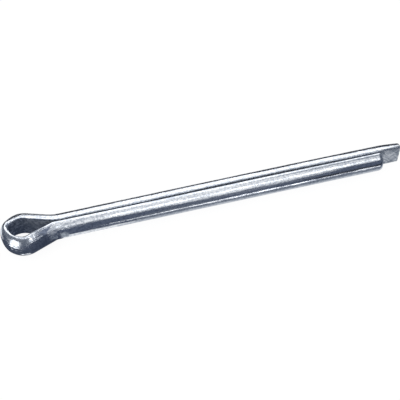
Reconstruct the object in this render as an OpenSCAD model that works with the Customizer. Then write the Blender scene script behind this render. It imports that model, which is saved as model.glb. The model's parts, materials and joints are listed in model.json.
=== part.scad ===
// Split cotter pin bent from one length of half-round wire, lying on its side.
// The shank runs along +X to the tips of the legs, the hole of the eye stands
// along Z, and the short leg is on the -Y side. The origin is on the axis of
// the shank, where it becomes a full round next to the eye. Millimetres.

/* [Shank] */
// Diameter across the two legs
pin_d = 4.6; // [3.6:0.1:5.8]
// Length from the sharp bend under the eye to the end of the short leg
pin_l = 62.4; // [20:0.2:100]
// How far the long leg runs past the short one
leg_extra = 3.4; // [2:0.1:4]
// Gap between the flat faces of the legs
leg_gap = 0.1; // [0.06:0.02:0.3]

/* [Wire] */
// Corner radius between the flat face and the edges of the wire
corner_r = 0.32; // [0.14:0.02:0.5]
// How far the edges of the wire lie inside its full round
edge_drop = 0.04; // [0.02:0.01:0.1]

/* [Eye] */
// Radius of the hole in the eye
eye_r = 1.92; // [1.4:0.02:2.3]
// Distance from the sharp bend back to the centre of the hole
eye_x = 5.5; // [4.8:0.1:8]
// Offset of the hole towards the short leg
eye_y = 0.1; // [0:0.02:0.3]
// How much the mandrel has thinned the wire at the end of the eye
eye_thin = 0.4; // [0.1:0.02:0.6]

/* [Neck] */
// Radius on the back of the wire in the sharp bend of the short leg
crease_r = 0.2; // [0.1:0.05:1]
// Radius on the back of the wire in the gentle bend of the long leg
sweep_r = 6.3; // [3:0.1:8]
// How far the gentle bend starts past the sharp one
sweep_x = 1.4; // [0.4:0.1:2]

/* [Ends] */
// Angle of the sheared ends from square, in degrees
shear_a = 3; // [0:0.5:8]
// Length of the roll-over on the back of the short leg's end
short_roll_l = 0.8; // [0.4:0.1:2]
// Depth of that roll-over
short_roll_t = 0.3; // [0.1:0.02:0.6]
// Length of the taper on the back of the long leg's end
long_roll_l = 3.6; // [1:0.1:6]
// Depth of that taper
long_roll_t = 0.28; // [0.1:0.02:0.6]

/* [Hidden] */
$fn = 96;
zinc = [0.62, 0.65, 0.70];
// How far a cutting shape overruns what it cuts
over = 1;
// Each straight run laps into the bends beside it, which are larger by a hair
lap = 0.1;
lap_skin = 0.01;

// Wire section, with n counted outward from the flat face: the round back is
// centred inside the flat by half the gap, so both legs share one cylinder
back_r = pin_d / 2;
axis_n = leg_gap / 2;
wire_t = back_r - axis_n;
edge_z = back_r - edge_drop;
corner_z = edge_z - corner_r;
// Share of the corner radius taken by the chamfer round the mandrel's hole
break_share = 0.5;

// Radius of the flat face in each neck bend, and where the bends and eye lie
short_r = wire_t + crease_r;
long_r = wire_t + sweep_r;
hole_x = -sweep_x - eye_x;
short_tip = pin_l - sweep_x;
long_tip = short_tip + leg_extra;

// The straight flank between the eye and a neck bend touches the hole on one
// side and the bend on the other. Their centres lie along apart in X and across
// apart in Y, and these are the flank's angle to the shank and its length
function flank_angle(neck_r, along, across) =
    asin((eye_r + neck_r) / norm([along, across])) - atan2(across, along);
function flank_length(neck_r, along, across) =
    sqrt(pow(along, 2) + pow(across, 2) - pow(eye_r + neck_r, 2));

short_across = axis_n + short_r - eye_y;
long_across = axis_n + long_r + eye_y;
short_a = flank_angle(short_r, eye_x, short_across);
long_a = flank_angle(long_r, eye_x + sweep_x, long_across);
short_l = flank_length(short_r, eye_x, short_across);
long_l = flank_length(long_r, eye_x + sweep_x, long_across);

// Half-round wire section with its flat face on the Y axis and its back to +X,
// grown all round by skin
module wire_section(skin = 0) {
    intersection() {
        translate([-axis_n, 0]) circle(r = back_r + skin);
        union() {
            translate([-skin, -corner_z]) square([pin_d, 2 * corner_z]);
            translate([corner_r, -edge_z - skin]) square([pin_d, 2 * (edge_z + skin)]);
            for (side = [-1, 1])
                translate([corner_r, side * corner_z]) circle(r = corner_r + skin);
        }
    }
}

// Straight wire along +X, flat face on Y = 0 and back to +Y, lapping over the
// bend before it and the bend after it
module run(length, after = 0) {
    translate([-lap, 0, 0])
        rotate([90, 0, 90]) linear_extrude(lap + length + after) wire_section();
}

// Bent wire whose flat face has radius r and turns through angle, starting at
// the angle start. The flat is on the inside of the eye and outside of a neck
module bend(r, angle, start, flat_inside) {
    rotate([0, 0, start])
        rotate_extrude(angle = angle)
            translate([r, 0])
                mirror([flat_inside ? 0 : 1, 0]) wire_section(lap_skin);
}

// Rolled end of a leg: the cone, coaxial with the shank, that trims its back,
// and the sheared cut that squares it off at x = tip
module end_trim(tip, roll_l, roll_t) {
    slope = roll_t / roll_l;
    translate([tip, 0, 0]) {
        rotate([0, 90, 0]) rotate_extrude() polygon([
            [back_r + over, -roll_l - over / slope],
            [back_r + over, over],
            [back_r - roll_t - slope * over, over]
        ]);
        rotate([0, shear_a, 0]) translate([0, -pin_d, -pin_d])
            cube([pin_d, 2 * pin_d, 2 * pin_d]);
    }
}

// A leg on the +Y side with its neck bend, which ends at x = neck_x, and flank
module leg(tip, roll_l, roll_t, neck_x, neck_r, flank_a, flank_l) {
    difference() {
        translate([neck_x, axis_n, 0]) run(tip + over - neck_x);
        end_trim(tip, roll_l, roll_t);
    }
    translate([neck_x, axis_n + neck_r, 0]) {
        bend(neck_r, flank_a, -90 - flank_a, false);
        rotate([0, 0, -flank_a])
            translate([-flank_l, -neck_r, 0]) run(flank_l, lap);
    }
}

// Eye, with the mandrel pushed towards its end, where the wire is thinnest
module eye() {
    difference() {
        translate([hole_x, -eye_y, 0])
            bend(eye_r, 180 + short_a + long_a, 90 - long_a, true);
        translate([hole_x - eye_thin, -eye_y, 0]) mandrel();
    }
}

// Round mandrel that opens out to chamfer both edges of the hole
module mandrel() {
    break_z = edge_z - break_share * corner_r;
    flare = edge_z + over - break_z;
    rotate_extrude() polygon([
        [0, -edge_z - over], [eye_r + flare, -edge_z - over], [eye_r, -break_z],
        [eye_r, break_z], [eye_r + flare, edge_z + over], [0, edge_z + over]
    ]);
}

module split_pin() color(zinc) {
    leg(long_tip, long_roll_l, long_roll_t, 0, long_r, long_a, long_l);
    mirror([0, 1, 0])
        leg(short_tip, short_roll_l, short_roll_t, -sweep_x, short_r, short_a, short_l);
    eye();
}

split_pin();
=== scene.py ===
import json
import math
from collections import namedtuple

import bpy
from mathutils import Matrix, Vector


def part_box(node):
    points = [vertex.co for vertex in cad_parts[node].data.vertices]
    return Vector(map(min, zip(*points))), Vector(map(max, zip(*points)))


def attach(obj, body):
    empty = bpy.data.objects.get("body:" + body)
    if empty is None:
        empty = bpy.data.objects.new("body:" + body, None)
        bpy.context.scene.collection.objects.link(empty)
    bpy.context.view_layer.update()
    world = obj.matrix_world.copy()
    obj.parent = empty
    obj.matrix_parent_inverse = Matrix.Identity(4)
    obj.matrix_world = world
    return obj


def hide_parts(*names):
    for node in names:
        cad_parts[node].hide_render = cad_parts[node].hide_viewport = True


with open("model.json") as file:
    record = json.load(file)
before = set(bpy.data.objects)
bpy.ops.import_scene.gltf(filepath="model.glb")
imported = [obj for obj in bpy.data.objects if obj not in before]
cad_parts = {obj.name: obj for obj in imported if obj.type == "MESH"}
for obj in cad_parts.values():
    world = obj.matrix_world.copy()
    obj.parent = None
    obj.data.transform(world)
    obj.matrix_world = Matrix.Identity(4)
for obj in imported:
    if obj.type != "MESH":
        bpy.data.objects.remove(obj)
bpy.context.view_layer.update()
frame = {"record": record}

# ---------------------------------------------------------------------------
# Sizes of the pin, in millimetres. The shank runs along +X and the short leg
# is on the -Y side. Directions round the hole are in degrees from +X over +Y
# ---------------------------------------------------------------------------
MM = 0.001
low, high = (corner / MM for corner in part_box("split_pin"))
shank = next(mount for mount in frame["record"]["mounts"] if mount["name"] == "shank")

# Shank: the wire's back is part of one cylinder, and its flat lies just off the axis
BACK_R = shank["dims"]["r_mm"]
AXIS_N = 0.05
WIRE_T = BACK_R - AXIS_N

# Tips: the cuts slant, so that the top of each reaches a little past its middle, and
# the slant fades out along the leg. The long leg runs past the short one
SHEAR_SLOPE = math.tan(math.radians(3))
SHEAR_FADE = (0, 4)
TIP_CORNER = 0.105
LEG_EXTRA = 3.85
LONG_TIP = high.x - TIP_CORNER
SHORT_TIP = LONG_TIP - LEG_EXTRA

# Rolled ends: length and depth of the roll on each back, how it curves, and the
# broken edge of each cut
LONG_ROLL = (3.8, 0.28)
SHORT_ROLL = (0.55, 0.22)
ROLL_CURVE = 1.4
CUT_EDGE = 0.07

# Eye: the middle of its hole, and the radius of the wire's flat face round it.
# The solid's bends are thicker than its straight runs by a hair
HOLE_X = -6.9
HOLE_Y = -0.1
BEND_SKIN = 0.01
EYE_R = HOLE_X - low.x - WIRE_T - BEND_SKIN

# Necks: where each leg bends out to the eye, and the radius on the wire's back there
CREASE_X = -1.05
CREASE_R = 0.2
SWEEP_X = 0
SWEEP_R = 6.3

# Stretches where a feature grows, from the x of its start to the x where it is full:
# the eye's edges, the swell into its hole, the pebbled skin of the bend, and the
# flank's streaks, which fade again
EYE_STRETCH = (0, -4)
HOLE_STRETCH = (-3, -5.5)
BENT_STRETCH = (-3.6, -7.5)
FLANK_STRETCH = (0, -2)
FLANK_FADE = (-4, -7.5)

# The mandrel presses the end of the eye: direction and reach, how far out it moves
# the flat and the widest levels of the back, and how much it narrows the wire
PRESS_AT = 162
PRESS_REACH = 82
PRESS_FLAT = 0.75
PRESS_CROWN = 1.3
PRESS_LOW_CROWN = 0.85
PRESS_NARROW = 0.03

# The wire swells into the hole, and the hole flares open at the top, as
# (direction, reach, depth)
HOLE_SWELL = 0.14
HOLE_FLARES = ((68, 75, 0.24), (205, 50, 0.24))

# Where the end of the eye bulges or dips, as (direction, reach, rise)
EYE_BULGES = ((125, 38, -0.13), (158, 30, 0.07), (190, 36, -0.16), (224, 36, -0.07))

# Radius of the wire's upper edge: along each leg as (x, radius), on each side of the
# eye, where the eye turns towards the short leg as (direction, reach, radius), and
# where it is pressed
LONG_EDGES = ((2, 0.24), (16, 0.4), (30, 0.24))
SHORT_EDGES = ((0, 0.5), (8, 0.62), (20, 0.8))
FAR_EYE_EDGE = 0.2
NEAR_EYE_EDGE = 0.5
TURN_EDGE = (250, 55, 0.85)
PRESS_EDGE = 0.55

# Radius of its lower edge, on the legs and round the eye
LOW_EDGE = 0.34
EYE_LOW_EDGE = 0.14

# The long leg springs out a little between the neck and its tip
LONG_BOW = 0.07

# How far out each flat face stands from its place along the leg, as (x, offset)
LONG_OFFSETS = ((0, -0.09), (5, -0.09), (12, -0.11), (20, -0.06), (30, -0.01), (40, 0), (50, -0.09),
                (59, -0.17))
SHORT_OFFSETS = ((0, 0.14), (6, 0.14), (20, 0.08), (38, 0.04), (46, 0.08), (61, 0.12))

# Steps of the mesh: along the wire, fine near the tips and the eye, round the eye
# in radians, and the number of steps over each edge, half the back and the flat
FINE_STEP = 0.12
COARSE_STEP = 0.4
FINE_TIP = 5
EYE_STEP = 0.032
EDGE_STEPS = 9
BACK_STEPS = 26
FLAT_STEPS = 12


# ---------------------------------------------------------------------------
# Curves
# ---------------------------------------------------------------------------
def between(start, end, share):
    """The value that lies a share of the way from start to end."""
    return start + (end - start) * share


def in_steps(start, end, count):
    """Values from start to end, both included, in a number of even steps."""
    return [between(start, end, i / count) for i in range(count + 1)]


def spread(start, end, step):
    """Values from start to end, both included, in even steps no longer than step."""
    return in_steps(start, end, max(1, math.ceil(abs(end - start) / step)))


def blend(stretch, value):
    """Smooth rise from 0 at the start of a stretch to 1 at its end."""
    start, end = stretch
    t = min(1, max(0, (value - start) / (end - start)))
    return t * t * (3 - 2 * t)


def hump(distance, reach):
    """1 at no distance, falling smoothly to 0 at reach."""
    return 0.5 + 0.5 * math.cos(math.pi * min(1, abs(distance) / reach))


def humps(places, turn):
    """Sum at one direction of the humps that (direction, reach, rise) places give."""
    return sum(rise * hump(turn - direction, reach) for direction, reach, rise in places)


def along_leg(places, x):
    """Value at x, straight between the nearest of the (x, value) places."""
    x = min(places[-1][0], max(places[0][0], x))
    for (x0, value0), (x1, value1) in zip(places, places[1:]):
        if x <= x1:
            return between(value0, value1, (x - x0) / (x1 - x0))


def turn_at(x, y):
    """Direction of a place from the middle of the hole, in degrees."""
    return math.degrees(math.atan2(y - HOLE_Y, x - HOLE_X)) % 360


# ---------------------------------------------------------------------------
# Path of the wire
# ---------------------------------------------------------------------------
# A station on the flat face: its place, the direction from there to the wire's
# back, the distance along the wire, the side (1 on the long leg, 0 round the eye
# and -1 on the short leg), the direction from the hole, how much of each feature
# it has, how far it is from the tip, and the tip's roll
Station = namedtuple("Station", "x y nx ny s side turn press eye flank tip_gap roll")


def leg_path(tip, neck_x, neck_r, side):
    """Points (x, y, nx, ny) of a leg from its tip to the eye, and the flank's angle."""
    along = neck_x - HOLE_X
    across = AXIS_N + neck_r - side * HOLE_Y
    angle = math.asin((EYE_R + neck_r) / math.hypot(along, across)) - math.atan2(across, along)
    length = math.sqrt(along ** 2 + across ** 2 - (EYE_R + neck_r) ** 2)
    points = [(x, side * AXIS_N, 0, side) for x in spread(tip, tip - FINE_TIP, FINE_STEP)]
    points += [(x, side * AXIS_N, 0, side) for x in spread(tip - FINE_TIP, neck_x, COARSE_STEP)[1:]]
    for a in spread(0, angle, FINE_STEP / neck_r)[1:]:
        x = neck_x - neck_r * math.sin(a)
        y = AXIS_N + neck_r * (1 - math.cos(a))
        points.append((x, side * y, math.sin(a), side * math.cos(a)))
    x0, y0, nx, ny = points[-1]
    for d in spread(0, length, FINE_STEP)[1:]:
        points.append((x0 - d * math.cos(angle), y0 + d * side * math.sin(angle), nx, ny))
    return points, angle


def eye_path(start, end):
    """Points (x, y, nx, ny) round the hole, between the ends of both flanks."""
    points = []
    for a in spread(start, end, EYE_STEP)[1:-1]:
        nx, ny = math.cos(a), math.sin(a)
        points.append((HOLE_X + EYE_R * nx, HOLE_Y + EYE_R * ny, nx, ny))
    return points


def wire_path():
    """Stations from the tip of the long leg round the eye to the tip of the short leg."""
    long_leg, long_a = leg_path(LONG_TIP, SWEEP_X, WIRE_T + SWEEP_R, 1)
    short_leg, short_a = leg_path(SHORT_TIP, CREASE_X, WIRE_T + CREASE_R, -1)
    eye = eye_path(math.pi / 2 - long_a, 3 * math.pi / 2 + short_a)
    stations = []
    s = 0
    last = long_leg[0][:2]
    for points, side in ((long_leg, 1), (eye, 0), (short_leg[::-1], -1)):
        for x, y, nx, ny in points:
            s += math.dist(last, (x, y))
            last = (x, y)
            turn = turn_at(x, y)
            press = hump(turn - PRESS_AT, PRESS_REACH) if x < CREASE_X else 0
            around = blend(EYE_STRETCH, x)
            flank = blend(FLANK_STRETCH, x) * (1 - blend(FLANK_FADE, x))
            tip, roll = (LONG_TIP, LONG_ROLL) if y > 0 else (SHORT_TIP, SHORT_ROLL)
            stations.append(Station(x, y, nx, ny, s, side, turn, press, around, flank, tip - x, roll))
    return stations


# ---------------------------------------------------------------------------
# Section of the wire, as points (n, z) with n outward from the flat face
# ---------------------------------------------------------------------------
def half_section(flat_n, crown_n, edge, crown_z):
    """Upper half of the outline, from the flat face over the edge to the middle of the back."""
    reach = WIRE_T - crown_n
    edge_n = flat_n + edge
    t = math.acos((edge_n - crown_n) / reach)
    edge_z = crown_z * math.sin(t)
    fall = crown_z * math.cos(t) / (reach * math.sin(t))
    corner = (flat_n, edge_z + edge * fall)
    side = math.dist(corner, (edge_n, edge_z))
    start, end = (flat_n, corner[1] - side), (edge_n, edge_z)

    # The edge is a curve whose two handles are pulled towards the corner that it rounds
    pull = 0.56
    pull_a = [between(a, c, pull) for a, c in zip(start, corner)]
    pull_b = [between(b, c, pull) for b, c in zip(end, corner)]
    points = []
    for u in in_steps(0, 1, EDGE_STEPS):
        v = 1 - u
        weights = (v ** 3, 3 * v * v * u, 3 * v * u * u, u ** 3)
        hull = (start, pull_a, pull_b, end)
        points.append(tuple(sum(w * p[k] for w, p in zip(weights, hull)) for k in (0, 1)))
    for a in in_steps(t, 0, BACK_STEPS)[1:]:
        points.append((crown_n + reach * math.cos(a), crown_z * math.sin(a)))
    return points


def wire_section(at):
    """Closed outline of the wire at a station, starting with the points of its flat face."""
    if at.y > 0:
        edges, eye_edge, offsets = LONG_EDGES, FAR_EYE_EDGE, LONG_OFFSETS
    else:
        edges, eye_edge, offsets = SHORT_EDGES, NEAR_EYE_EDGE, SHORT_OFFSETS
    turn = at.turn if at.eye == 1 else 0
    direction, reach, turn_edge = TURN_EDGE
    top_edge = between(along_leg(edges, at.x), eye_edge, at.eye)
    top_edge = between(top_edge, turn_edge, hump(turn - direction, reach))
    top_edge = between(top_edge, PRESS_EDGE, at.press)
    low_edge = between(LOW_EDGE, EYE_LOW_EDGE, at.eye)
    round_hole = blend(HOLE_STRETCH, at.x)
    offset = along_leg(offsets, at.x) * (1 - at.eye)
    flat_n = offset - HOLE_SWELL * round_hole + PRESS_FLAT * at.press
    flare = humps(HOLE_FLARES, turn) * round_hole
    crown_z = BACK_R - PRESS_NARROW * at.press
    top = half_section(flat_n + flare, PRESS_CROWN * at.press - AXIS_N, top_edge, crown_z)
    bottom = half_section(flat_n, PRESS_LOW_CROWN * at.press - AXIS_N, low_edge, crown_z)
    bottom = [(n, -z) for n, z in bottom]
    flat = []
    for k in range(1, FLAT_STEPS):
        flat.append(tuple(between(a, b, k / FLAT_STEPS) for a, b in zip(bottom[0], top[0])))
    return flat + top + bottom[::-1][1:]


def rolled(n, z, at):
    """The point after the roll-over at the leg's end has pressed the back in."""
    length, depth = at.roll
    gap = max(0, at.tip_gap)
    if gap > length:
        return n, z
    limit = BACK_R - depth * (1 - gap / length) ** ROLL_CURVE
    r = math.hypot(n + AXIS_N, z)
    if r < limit:
        return n, z
    share = limit / r
    return (n + AXIS_N) * share - AXIS_N, z * share


def stand_off(at):
    """How far the wire stands outward of its path at a station."""
    if at.side == 0:
        return humps(EYE_BULGES, at.turn)
    if at.side < 0 or at.x < 0:
        return 0
    return LONG_BOW * math.sin(math.pi * at.x / LONG_TIP)


# ---------------------------------------------------------------------------
# The bent wire as one closed mesh
# ---------------------------------------------------------------------------
def ring_points(at, inset=0, back_off=0):
    """Points of one ring, each as its place and its place on the wire laid straight.

    The ring is drawn in towards its middle by inset, and back from the tip by back_off.
    """
    outline = [rolled(n, z, at) for n, z in wire_section(at)]
    mid = sum(n for n, _ in outline) / len(outline)
    half = max(z for _, z in outline)
    shear = SHEAR_SLOPE * (1 - blend(SHEAR_FADE, at.tip_gap))
    rise = stand_off(at)
    ring = []
    for n, z in outline:
        n -= (n - mid) * inset / (WIRE_T / 2)
        z -= z * inset / half
        off = n + rise
        x = at.x - back_off + off * at.nx + z * shear
        y = at.y + off * at.ny
        ring.append(((x, y, z), (at.s, n, z)))
    return ring


def cut_rings(at):
    """Rings that close a cut and round its edge, from its middle outward."""
    rings = [ring_points(at, inset) for inset in (1.0, 0.75, 0.5, 0.28, 0.14)]
    for degrees in (75, 50, 25):
        a = math.radians(degrees)
        inset = CUT_EDGE * (1 - math.cos(a))
        rings.append(ring_points(at, inset, CUT_EDGE * (1 - math.sin(a))))
    return rings


def skin_faces(count, cols):
    """Faces that join a number of rings, each of cols points, into one closed skin."""
    faces = [list(range(cols))[::-1]]
    for i in range(count - 1):
        for j in range(cols):
            k = (j + 1) % cols
            faces.append((i * cols + j, i * cols + k, (i + 1) * cols + k, (i + 1) * cols + j))
    faces.append([(count - 1) * cols + j for j in range(cols)])
    return faces


def write_attribute(mesh, name, kind, key, values):
    """Store one value per point of the mesh."""
    mesh.attributes.new(name, kind, "POINT").data.foreach_set(key, values)


def split_pin(name):
    """The whole pin: rings of points along the path, joined into one closed skin."""
    path = wire_path()
    stations = [at for at in path if at.tip_gap > CUT_EDGE]
    first_cut, last_cut = cut_rings(path[0]), cut_rings(path[-1])[::-1]
    rings = first_cut + [ring_points(at) for at in stations] + last_cut
    places = [path[0]] * len(first_cut) + stations + [path[-1]] * len(last_cut)

    # The rings of a cut lie on its face, apart from the outermost of them
    inner = [1.0] * (len(first_cut) - 1)
    on_cut = inner + [0.0] * (len(stations) + 2) + inner
    verts, straight, bent, flank, cut, flat = [], [], [], [], [], []
    for ring, at, cut_share in zip(rings, places, on_cut):
        for point, (place, laid) in enumerate(ring):
            verts.append([c * MM for c in place])
            straight += laid
            bent.append(blend(BENT_STRETCH, at.x))
            flank.append(at.flank)
            cut.append(cut_share)
            flat.append(1.0 if point < FLAT_STEPS - 1 else 0.0)
    mesh = bpy.data.meshes.new(name)
    mesh.from_pydata(verts, [], skin_faces(len(rings), len(rings[0])))
    mesh.shade_smooth()
    write_attribute(mesh, "straight", "FLOAT_VECTOR", "vector", straight)
    for feature, shares in (("bent", bent), ("flank", flank), ("cut", cut), ("flat", flat)):
        write_attribute(mesh, feature, "FLOAT", "value", shares)
    obj = bpy.data.objects.new(name, mesh)
    bpy.context.scene.collection.objects.link(obj)
    return obj


# ---------------------------------------------------------------------------
# Shader arithmetic
# ---------------------------------------------------------------------------
class Socket:
    """Output of a shader node. Arithmetic on it adds Math nodes to the same tree."""

    def __init__(self, tree, output):
        self.tree = tree
        self.output = output

    def node(self, kind, settings=None, sockets=None, out=0):
        """Add a node of a type: first its settings, then its sockets' values or links."""
        made = self.tree.nodes.new("ShaderNode" + kind)
        for name, value in (settings or {}).items():
            if name == "stops":
                place_stops(made.color_ramp, value)
            else:
                setattr(made, name, value)
        for name, value in (sockets or {}).items():
            if isinstance(value, Socket):
                self.tree.links.new(value.output, made.inputs[name])
            else:
                made.inputs[name].default_value = value
        return Socket(self.tree, made.outputs[out]) if len(made.outputs) else None

    def math(self, operation, first, second, clamp=False):
        """Add a Math node on two values or sockets."""
        settings = {"operation": operation, "use_clamp": clamp}
        return self.node("Math", settings, {0: first, 1: second})

    def __add__(self, other):
        return self.math("ADD", self, other)

    def __radd__(self, other):
        return self.math("ADD", other, self)

    def __sub__(self, other):
        return self.math("SUBTRACT", self, other)

    def __rsub__(self, other):
        return self.math("SUBTRACT", other, self)

    def __mul__(self, other):
        return self.math("MULTIPLY", self, other)

    def __rmul__(self, other):
        return self.math("MULTIPLY", other, self)

    def clamped(self):
        """The value held between 0 and 1."""
        return self.math("ADD", self, 0.0, clamp=True)


def place_stops(ramp, stops):
    """Give a colour ramp grey stops, as (position, value)."""
    while len(ramp.elements) < len(stops):
        ramp.elements.new(1.0)
    for element, (position, value) in zip(ramp.elements, stops):
        element.position = position
        element.color = (value, value, value, 1)


def empty_tree(owner):
    """Clear the node tree of a material or world, and return a socket that can add nodes."""
    owner.use_nodes = True
    owner.node_tree.nodes.clear()
    return Socket(owner.node_tree, None)


# ---------------------------------------------------------------------------
# Zinc plate
# ---------------------------------------------------------------------------
BRIGHT_ZINC = (0.77, 0.80, 0.84, 1)
DULL_ZINC = (0.42, 0.46, 0.53, 1)
# Colour of the scored hatch on the flats, and of the painted shade in the hole
SCORED_AND_SHADED_ZINC = (0.22, 0.26, 0.32, 1)
HATCH_TURN = 0.9


def attribute(tree, name, out="Fac"):
    """A value stored on the points of the mesh."""
    return tree.node("Attribute", {"attribute_name": name}, out=out)


def grain(tree, laid, stretch, detail):
    """Noise over the straight wire, so many waves to the millimetre along, out and across."""
    place = tree.node("VectorMath", {"operation": "MULTIPLY"}, {0: laid, 1: stretch})
    return tree.node("TexNoise", None, {"Vector": place, "Scale": 1.0, "Detail": detail})


def level(value, start, end):
    """Rise of a value from 0 at start to 1 at end, held there."""
    return value.node("ValToRGB", {"stops": [(start, 0), (end, 1)]}, {"Fac": value})


def tint(tree, share, first, second):
    """Colour that goes from the first to the second as share rises."""
    return tree.node("Mix", {"data_type": "RGBA"}, {"Factor": share, 6: first, 7: second}, out=2)


def zinc_plate():
    """Bright zinc on drawn wire.

    It is streaked along the legs and flanks, pebbled round the eye, hatched on the bare
    flats of the legs and blotched in the hole, where the blotches also darken it as painted shade.
    """
    material = bpy.data.materials.new("zinc_plate")
    tree = empty_tree(material)
    laid = attribute(tree, "straight", "Vector")
    bent, flank, flat, cut = (attribute(tree, name) for name in ("bent", "flank", "flat", "cut"))

    # Marks of drawing and plating all over the wire
    streaks = level(grain(tree, laid, (0.12, 2.4, 2.4), 3.0), 0.46, 0.62)
    scratches = level(grain(tree, laid, (0.3, 5.0, 5.0), 2.0), 0.55, 0.7)
    pebbles = grain(tree, laid, (2.0, 2.4, 2.4), 4.0)
    specks = level(grain(tree, laid, (2.6, 2.9, 2.9), 1.0), 0.44, 0.58)
    grime = level(grain(tree, laid, (0.8, 1.2, 1.2), 4.0), 0.5, 0.75)

    # Marks on the flat face: crossed and slanting on the legs, and blotches in the hole, which mottle it
    # and darken it as painted shade
    turned = tree.node("VectorRotate", {"rotation_type": "Y_AXIS"}, {"Vector": laid, "Angle": HATCH_TURN})
    hatch = level(grain(tree, turned, (0.25, 1.0, 1.7), 1.0), 0.46, 0.54)
    counter_hatch = level(grain(tree, turned, (1.7, 1.0, 0.25), 1.0), 0.5, 0.58)
    blotches_and_hole_shade = level(grain(tree, laid, (1.5, 1.5, 1.5), 3.0), 0.42, 0.54)
    bare = flat * (1 - bent)
    hatched = bare * (0.6 * hatch + 0.4 * counter_hatch)

    # Colour: dull in the marks, on the cuts and on the bare flats, and dark where scored and in the hole,
    # whose darkening is painted shade
    spoiled = (0.15 + 0.5 * flank) * streaks + 0.65 * specks + 0.35 * bent * grime
    scored_and_hole_shade = hatched + 0.8 * flat * bent * blotches_and_hole_shade
    dull = (spoiled + 0.35 * cut + 0.2 * bare).clamped()
    plate = tint(tree, dull, BRIGHT_ZINC, DULL_ZINC)
    color = tint(tree, scored_and_hole_shade, plate, SCORED_AND_SHADED_ZINC)

    # Roughness, and the height of the marks in millimetres
    worn = (0.35 + 0.65 * bent) * (0.12 * streaks + 0.16 * specks)
    rough = 0.10 + worn + 0.05 * scratches + 0.22 * flat + 0.25 * cut
    drawn = (0.006 + 0.008 * bent + 0.025 * flank) * streaks + 0.004 * scratches + 0.04 * hatched
    pressed = (0.15 + 0.85 * bent) * 0.06 * pebbles
    bump = tree.node("Bump", None, {"Height": (drawn + pressed) * MM, "Distance": 1.0})

    zinc = tree.node("BsdfPrincipled", None, {
        "Base Color": color, "Metallic": 1 - 0.5 * bare, "Roughness": rough, "Normal": bump})
    tree.node("OutputMaterial", None, {"Surface": zinc})
    return material


def dress(piece, material):
    """Give the pin its material and its place in the model."""
    piece.data.materials.append(material)
    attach(piece, "root")
    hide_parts("split_pin")


dress(split_pin("bent_wire"), zinc_plate())

# ---------------------------------------------------------------------------
# Camera, in degrees and millimetres
# ---------------------------------------------------------------------------
AZIMUTH = -14.794
ELEVATION = 54.116
DISTANCE = 262.375
TARGET = Vector((25.900, 0, -1.2143))
LENS = 128.4
SENSOR = 36
NEAREST, FARTHEST = 10, 10000


def outward(azimuth, elevation):
    """Direction at an azimuth from -Y towards +X and an elevation above level, in degrees."""
    azimuth, elevation = math.radians(azimuth), math.radians(elevation)
    out = math.cos(elevation)
    return Vector((math.sin(azimuth) * out, -math.cos(azimuth) * out, math.sin(elevation)))


def place_camera():
    """Camera that looks down on the pin from its short leg's side."""
    back = outward(AZIMUTH, ELEVATION)
    lens = bpy.data.cameras.new("camera")
    lens.sensor_width = SENSOR
    lens.lens = LENS
    lens.clip_start = NEAREST * MM
    lens.clip_end = FARTHEST * MM
    camera = bpy.data.objects.new("camera", lens)
    camera.location = (TARGET + back * DISTANCE) * MM
    camera.rotation_mode = "QUATERNION"
    camera.rotation_quaternion = (-back).to_track_quat("-Z", "Y")
    bpy.context.scene.collection.objects.link(camera)
    bpy.context.scene.camera = camera


place_camera()

# ---------------------------------------------------------------------------
# Studio, in millimetres: a white room and floor, and the softboxes, flags, walls
# and table top that only the metal reflects, as cards of one colour each, with painted shade under the pin
# ---------------------------------------------------------------------------
AMBIENT = 0.75
FLOOR_GLOW = 0.86
FLOOR_WHITE = 1.08
FLOOR_PAINT = (0.9, 0.9, 0.9, 1)
FLOOR_REACH = 3000


def seen(tree):
    """1 on camera, glossy and transmission rays, and 0 on the rays that light the object."""
    rays = [tree.node("LightPath", out=name)
            for name in ("Is Camera Ray", "Is Glossy Ray", "Is Transmission Ray")]
    return (rays[0] + rays[1] + rays[2]).clamped()


def white_room():
    """World that is white to the eye and plain soft light to the object."""
    world = bpy.data.worlds.new("white_room")
    bpy.context.scene.world = world
    tree = empty_tree(world)
    strength = AMBIENT + (1 - AMBIENT) * seen(tree)
    shade = tree.node("Background", None, {"Color": (1, 1, 1, 1), "Strength": strength})
    tree.node("OutputWorld", None, {"Surface": shade})


def panel(name, corners):
    """Flat piece of studio, from its corners."""
    mesh = bpy.data.meshes.new(name)
    mesh.from_pydata([[c * MM for c in corner] for corner in corners], [], [range(len(corners))])
    piece = bpy.data.objects.new(name, mesh)
    bpy.context.scene.collection.objects.link(piece)
    return piece


def floor():
    """White floor that keeps the pin's soft shadow."""
    material = bpy.data.materials.new("white_floor")
    tree = empty_tree(material)
    paint = tree.node("BsdfDiffuse", None, {"Color": FLOOR_PAINT})
    glow = tree.node("Emission", None, {"Strength": FLOOR_WHITE})
    mixed = tree.node("MixShader", None, {0: FLOOR_GLOW * seen(tree), 1: paint, 2: glow})
    tree.node("OutputMaterial", None, {"Surface": mixed})
    square = [(-1, -1), (1, -1), (1, 1), (-1, 1)]
    sheet = panel("floor", [(x * FLOOR_REACH, y * FLOOR_REACH, low.z) for x, y in square])
    sheet.data.materials.append(material)


def card(name, color, corners):
    """Card of one colour that the metal reflects, and that nothing else sees."""
    material = bpy.data.materials.new(name)
    tree = empty_tree(material)
    glow = tree.node("Emission", None, {"Color": (*color, 1)})
    tree.node("OutputMaterial", None, {"Surface": glow})
    piece = panel(name, corners)
    piece.visible_camera = False
    piece.visible_diffuse = False
    piece.visible_shadow = False
    piece.visible_transmission = False
    piece.data.materials.append(material)


def lying(z, outline):
    """Corners of a level card at a height, from its (x, y) outline."""
    return [(x, y, z) for x, y in outline]


def facing_y(y, outline):
    """Corners of an upright card that faces along Y, from its (x, z) outline."""
    return [(x, y, z) for x, z in outline]


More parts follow.
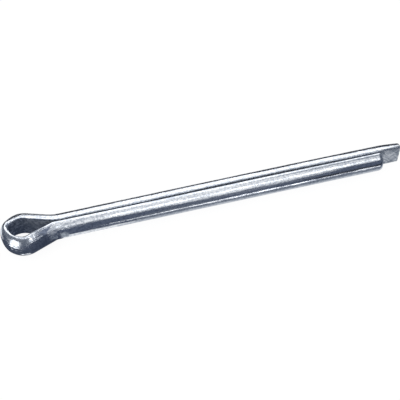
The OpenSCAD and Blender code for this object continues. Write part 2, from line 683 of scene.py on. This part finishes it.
def facing_x(x, outline):
    """Corners of an upright card that faces along X, from its (y, z) outline."""
    return [(x, y, z) for y, z in outline]


def round_eye(distance, outline):
    """Corners at a distance from the eye's shoulder, from their azimuths and elevations."""
    return [EYE_SHOULDER + distance * outward(azimuth, elevation) for azimuth, elevation in outline]


# Colours of the cards, from dark to light. Those above 1 are lamps
BLACK = (0.045, 0.05, 0.065)
MIDNIGHT = (0.07, 0.085, 0.125)
NAVY = (0.10, 0.12, 0.17)
SLATE = (0.16, 0.18, 0.22)
STEEL_BLUE = (0.20, 0.22, 0.27)
SLATE_BLUE = (0.22, 0.25, 0.33)
LEAD = (0.30, 0.33, 0.37)
STEEL_GREY = (0.40, 0.43, 0.47)
HAZE = (0.56, 0.58, 0.62)
PALE = (0.62, 0.64, 0.68)
MIST = (0.80, 0.81, 0.84)
PALE_LAMP = (1.08, 1.08, 1.08)
LAMP = (1.7, 1.7, 1.7)
BRIGHT_LAMP = (2.6, 2.6, 2.6)

# Where the cards are: four walls, two ceilings, two layers on the table, and a level
# just over the pin. The window's corners are set out from the eye's near shoulder
LEFT, RIGHT, NEAR, FAR = -140, 150, -90, 160
CEILING = 200
HIGH_CEILING = 300
TABLE = low.z + 0.02
ON_TABLE = TABLE + 0.01
OVERHEAD = 11
EYE_SHOULDER = Vector((-8.5, -2.5, 1.5))


def window_and_key():
    """Window that the eye mirrors, a spark on its shoulder, and the strip light along the shank."""
    card("window", BRIGHT_LAMP, round_eye(60, [
        (-73, -14), (-44, -14), (-39, 14), (-43, 34), (-50, 48), (-59, 60), (-67, 60), (-71, 38),
        (-75, 14)]))
    card("spark", BRIGHT_LAMP, lying(OVERHEAD - 0.1, [
        (-3.9, -3.8), (-2.7, -3.8), (-0.8, -5.8), (0.2, -8), (-0.6, -10.5), (-3.4, -8.2)]))
    joint_low, joint_high = (12.65, -26.9, 27.6), (12.65, -26.9, 37.6)
    card("key_strip_end", PALE_LAMP, [(1.5, -15, 15), joint_low, joint_high, (1.5, -15, 23)])
    card("key_strip", BRIGHT_LAMP, [joint_low, (113, -134, 132), (113, -134, 173), joint_high])


def near_side():
    """Dark walls on the near side and the left.

    A lamp and a glow stand before the near one, and haze shows over its uneven top.
    """
    card("near_wall", NAVY, facing_y(NEAR, [
        (-140, TABLE), (250, TABLE), (250, 76), (90, 74), (84, 70), (72, 50), (60, 34), (34, 38), (22, 50),
        (12, 62), (7.2, 72), (6.2, 62), (5, 36), (4.4, 24), (3.7, 24), (3.2, 85), (-140, 85)]))
    card("kink_lamp", BRIGHT_LAMP, facing_y(NEAR + 0.5, [
        (3.4, 28), (4.4, 28), (5, 38), (5.9, 56), (6, 74), (5.6, 90), (4.6, 90), (3.4, 60)]))
    card("near_glow", STEEL_BLUE, facing_y(NEAR + 1, [(38, 2), (68, 2), (68, 24), (60, 28), (38, 28)]))
    card("near_haze", PALE, facing_y(NEAR - 1, [(8, 30), (90, 30), (90, 60), (60, 50), (8, 50)]))
    card("left_wall", SLATE, facing_x(LEFT, [(-90, TABLE), (200, TABLE), (200, 220), (-90, 220)]))


def near_table_top_and_eye_shade():
    """Table top before the shank and round the eye: dark, with a light line along the shank. Under the eye
    and its hole the dark card is also painted shade.
    """
    card("near_table", NAVY, lying(TABLE, [
        (-60, -90), (-14, -28), (-0.1, -28), (0.3, -3.9), (15, -4), (15, -8), (250, -8), (250, -90)]))
    card("mid_table", SLATE, lying(ON_TABLE, [(15, -40), (34, -45), (29, -9.2), (15, -9)]))
    card("tip_table", BLACK, lying(ON_TABLE, [(51, -60), (95, -60), (80, -9.2), (51, -9.2)]))
    card("kink_table", STEEL_GREY, lying(ON_TABLE, [
        (0, -16), (0.7, -16), (1.1, -5), (1.1, -2.4), (-0.4, -2.4), (-0.2, -5)]))
    # Dark table round the eye; under the eye and in its hole the card is painted shade
    card("eye_table", MIDNIGHT, lying(TABLE, [
        (-32, -28), (0.2, -28), (0.3, -5), (0, -2.4), (-1, 1), (-9, 5), (-14, 1), (-140, 95),
        (-140, -28)]))
    card("hole_table", SLATE, lying(ON_TABLE, [(-9.5, -1.6), (-3, -1.6), (-2.5, -0.7), (-9.5, -0.7)]))
    card("under_eye", LAMP, lying(ON_TABLE, [(-8.6, -4.7), (-6.2, -4.6), (-6.2, -4.1), (-8.6, -4.2)]))
    card("light_line", LAMP, lying(ON_TABLE, [(4, -7.9), (20, -8.8), (33, -9), (33, -6.9), (20, -7)]))
    card("light_line_mid", BRIGHT_LAMP, lying(ON_TABLE, [(33, -9), (49, -9), (49, -7), (33, -6.9)]))
    card("light_line_tip", LAMP, lying(ON_TABLE, [(49, -8.6), (62.5, -8.6), (62.5, -7), (49, -7)]))
    card("dim_line", STEEL_BLUE, lying(TABLE, [(15, -8), (75, -8), (75, -3.9), (15, -3.9)]))
    card("tip_shade", NAVY, lying(ON_TABLE, [(62.5, -9), (120, -9), (120, -3.9), (62.5, -3.9)]))


def far_table_top_and_shadow():
    """Table top under the shank and behind it. The grey cards under the shank are its painted shadow."""
    # Painted shadow of the pin on the table, as the metal mirrors it
    card("under_shank", STEEL_GREY, lying(TABLE, [(12, -3.9), (38, -3.9), (38, 2.3), (24, 2.3)]))
    card("under_tip", LEAD, lying(TABLE, [(38, -3.9), (75, -3.9), (75, 2.3), (38, 2.3)]))
    card("under_edge", PALE, lying(ON_TABLE, [(10, -3), (75, -3), (75, -0.5), (10, -0.5)]))
    card("far_table", BLACK, lying(TABLE, [(-140, 95), (-14, 9), (250, 9), (250, 160), (-140, 160)]))


def far_side():
    """Dark wall on the far side, with a softbox over its uneven top and one overhead."""
    top = [(0, 26), (25, 25), (45, 20), (68, 22), (82, 28), (96, 34), (108, 48), (150, 48), (150, 92),
           (250, 92)]
    left_top = [(0, 92), (-25, 92), (-35, 150)]
    wall = [(-140, TABLE), (250, TABLE)] + top[::-1] + left_top + [(-140, 150)]
    softbox = top + [(250, 220), (-120, 220), (-120, 150)] + left_top[::-1]
    card("far_wall", BLACK, facing_y(FAR, wall))
    card("far_softbox", LAMP, facing_y(FAR, softbox))
    card("high_softbox", LAMP, lying(HIGH_CEILING, [(-120, 20), (110, 20), (110, 260), (-120, 260)]))


def tip_side():
    """Dark wall past the tips, and the ceiling that shades off to it."""
    card("right_wall", SLATE, facing_x(RIGHT, [(-160, TABLE), (160, TABLE), (160, 200), (-160, 200)]))
    card("right_ceiling", SLATE, lying(CEILING, [(135, -160), (400, -160), (400, 160), (135, 160)]))
    card("tip_ceiling", PALE, lying(CEILING, [(100, -60), (135, -60), (135, 60), (100, 60)]))
    card("strip_haze", STEEL_GREY, lying(CEILING - 1, [
        (72, -15), (90, -28), (100, -28), (100, 50), (72, 50)]))
    card("tip_haze", LEAD, lying(CEILING - 1, [(100, -28), (135, -28), (135, 50), (100, 50)]))


def overhead_cards():
    """Dark flag over the eye, a lamp for its crest, and haze over the neck."""
    card("eye_flag", SLATE, lying(OVERHEAD, [
        (-13, -16), (-1, -16), (-1.5, -6), (-1.6, 3), (-5, 4.5), (-5.4, -1.6), (-6, -1.6), (-8, -1.4),
        (-8.4, 2), (-10.5, 2), (-11.8, 1.5), (-13, 2.6), (-18, 2), (-18, -4.4), (-14.3, -4.6),
        (-12.6, -7.2), (-12.4, -10)]))
    card("crest_lamp", LAMP, lying(OVERHEAD - 0.1, [
        (-8.2, 2), (-8, -2.6), (-5.4, -3.2), (-3.5, -3), (-3.7, -0.9), (-5.6, 2.2)]))
    card("neck_haze", HAZE, lying(OVERHEAD, [(0.2, -9.5), (3.2, -9.5), (4, -4.6), (-0.2, -4.6)]))
    card("shank_haze", MIST, lying(OVERHEAD + 0.1, [(3, -7), (9, -7), (9, -2.8), (3, -2.8)]))


def side_flags():
    """Upright dark flags beside the crease, which its bend and the flank mirror."""
    near, out = (-1.33, -4.2), (-0.1, -28)
    card("side_flag_low", MIDNIGHT, [(*near, TABLE), (*out, TABLE), (*out, 12), (*near, 3.2)])
    card("side_flag_high", NAVY, [(*near, 3.2), (*out, 12), (*out, 30), (-0.7, -15, 19), (*near, 15.3)])
    card("side_flag_over", SLATE_BLUE, [(*near, 4.2), (*near, 15.3), (-1.2, 0.6, 15), (-1.2, 0.6, 4.2)])


def studio():
    """The whole studio round the pin."""
    white_room()
    floor()
    window_and_key()
    near_side()
    near_table_top_and_eye_shade()
    far_table_top_and_shadow()
    far_side()
    tip_side()
    overhead_cards()
    side_flags()


studio()
bpy.context.scene.view_settings.view_transform = "Standard"
